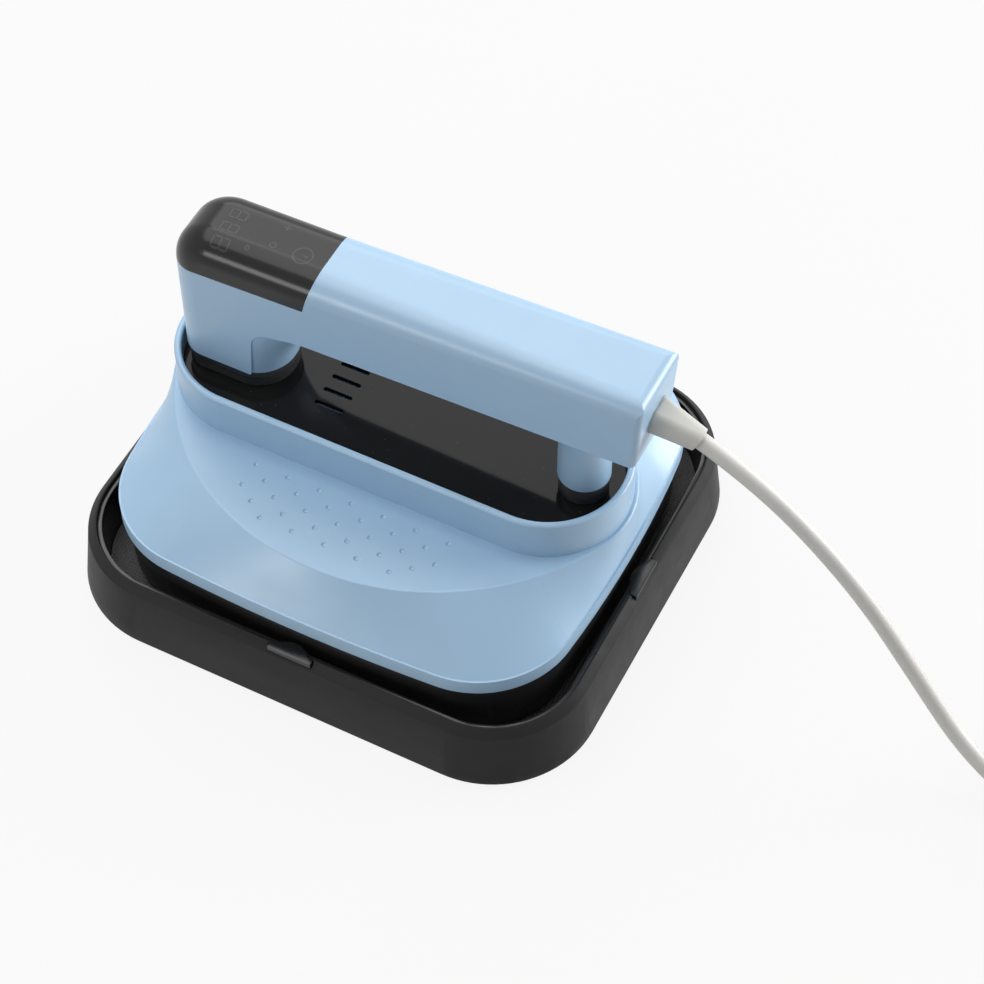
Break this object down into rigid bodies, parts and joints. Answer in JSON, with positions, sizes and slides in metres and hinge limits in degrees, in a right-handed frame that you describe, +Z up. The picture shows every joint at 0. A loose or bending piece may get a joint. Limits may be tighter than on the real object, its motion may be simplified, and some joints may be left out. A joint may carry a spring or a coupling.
{
  "type": "mini handheld heat press",
  "caption": "Small hand-held heat press with a box handle over a collared housing, standing in a deep rounded storage tray, with a mains cord.",
  "frame": {"origin": "on the resting surface, under the centre of the storage tray (the cord, its coil, gland and plug left out)", "axes": "+X along the handle from the display end to the cord end, +Y away from the working side, +Z up"},
  "size_m": [0.5348, 0.2278, 0.1729],
  "materials": {
    "tray_plastic": "fine satin",
    "liner_plastic": "gloss",
    "pad_felt": "woven silicone-coated cloth",
    "foot_rubber": "matt",
    "platen": "coated and ground",
    "sheath_steel": "annealed",
    "shield_steel": "mill",
    "fibre": "loose fibre",
    "cutout_body": "moulded",
    "brass": "turned",
    "screw_steel": "zinc plated",
    "skirt_plastic": "satin",
    "blue_plastic": "smooth satin",
    "blue_handle": "smooth satin",
    "deck_plastic": "polished",
    "black_plastic": "satin",
    "cap_plastic": "smoked gloss",
    "board": "lacquered",
    "relay_plastic": "moulded",
    "film_plastic": "moulded",
    "block_plastic": "moulded",
    "module_plastic": "moulded",
    "lead_silicone": "smooth",
    "cord_jacket": "smooth satin",
    "relief_rubber": "satin",
    "plug_plastic": "satin"
  },
  "bodies": {
    "tray": {"tray_shell": "tray_plastic", "tray_liner": "liner_plastic", "heat_pad": "pad_felt", "tray_feet": "foot_rubber", "cord_coil": "cord_jacket", "plug_body": "plug_plastic", "plug_pins": "brass"},
    "press": {"heat_plate": "platen", "heating_element": "sheath_steel", "heat_shield": "shield_steel", "insulation_blanket": "fibre", "thermal_cutout": "cutout_body", "temperature_sensor": "brass", "plate_standoffs": "screw_steel", "plate_screws": "screw_steel", "lower_skirt": "skirt_plastic", "skirt_screws": "screw_steel", "housing_shell": "blue_plastic", "deck_plate": "deck_plastic", "leg_foot": "black_plastic", "post_foot": "black_plastic", "handle_screws": "screw_steel", "handle_shell": "blue_handle", "handle_underside": "blue_handle", "cover_screws": "screw_steel", "display_cap": "cap_plastic", "display_board": "board", "display_screws": "screw_steel", "led_display": "module_plastic", "touch_springs": "brass", "power_board": "board", "power_relay": "relay_plastic", "filter_capacitor": "film_plastic", "terminal_block": "block_plastic", "heater_leads": "lead_silicone", "cord_clamp": "black_plastic", "clamp_screws": "screw_steel", "inner_cord": "cord_jacket", "strain_relief": "relief_rubber", "mains_cord": "cord_jacket"}
  },
  "joints": [
    {"name": "press_lift", "type": "slide", "parent": "tray", "child": "press", "axis": [0, 0, 1], "range_m": [0, 0.05]}
  ]
}
